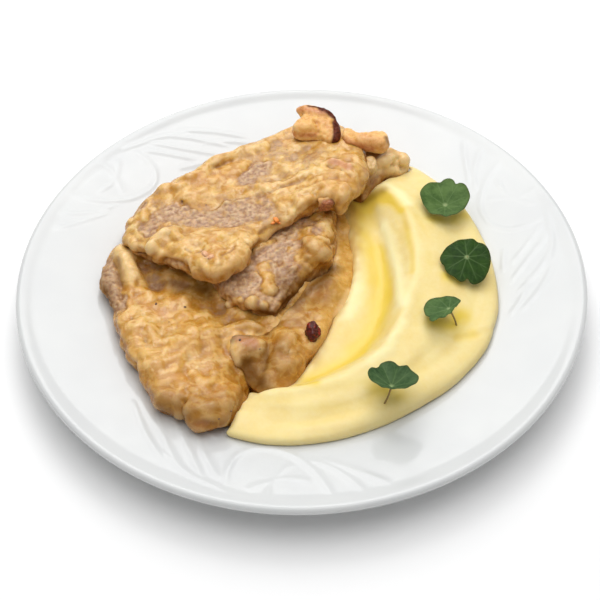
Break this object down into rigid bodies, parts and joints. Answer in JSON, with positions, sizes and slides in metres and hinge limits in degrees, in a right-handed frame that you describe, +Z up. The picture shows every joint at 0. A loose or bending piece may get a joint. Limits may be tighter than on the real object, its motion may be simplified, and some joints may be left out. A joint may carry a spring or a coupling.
{
  "type": "plate of hunter's schnitzel",
  "caption": "Round white rimmed dinner plate holding sauce-covered pork schnitzels with bacon, a crescent of potato puree with a spooned hollow, and small round green leaves.",
  "frame": {"origin": "middle of the foot ring's underside, on the table", "axes": "+Z up out of the plate, +X to the diner's right, +Y away from the diner"},
  "size_m": [0.28, 0.28, 0.0442],
  "materials": {
    "porcelain": "glazed white porcelain, low embossed strokes on the rim",
    "puree": "soft moist potato puree, pale yellow with melted butter in the hollow",
    "sauce": "thick lumpy tan gravy, moist",
    "meat_in_sauce": "grainy pork partly coated in thick tan sauce",
    "bacon": "fried bacon with golden fat and dark rind",
    "ham": "moist pink ham",
    "onion": "pale cooked onion, moist",
    "berry": "dark red dried berry, shiny",
    "leaf": "satin green leaf with paler veins"
  },
  "bodies": {
    "root": {"plate": "porcelain", "puree": "puree", "sauce": "sauce", "schnitzel_lower": "meat_in_sauce", "schnitzel_middle": "meat_in_sauce", "schnitzel_upper": "meat_in_sauce", "schnitzel_end": "meat_in_sauce", "bacon_slice": "bacon", "bacon_bar": "bacon", "ham_cube": "ham", "onion_piece": "onion", "red_berry": "berry", "leaf_1": "leaf", "leaf_2": "leaf", "leaf_3": "leaf", "leaf_4": "leaf"}
  },
  "joints": []
}
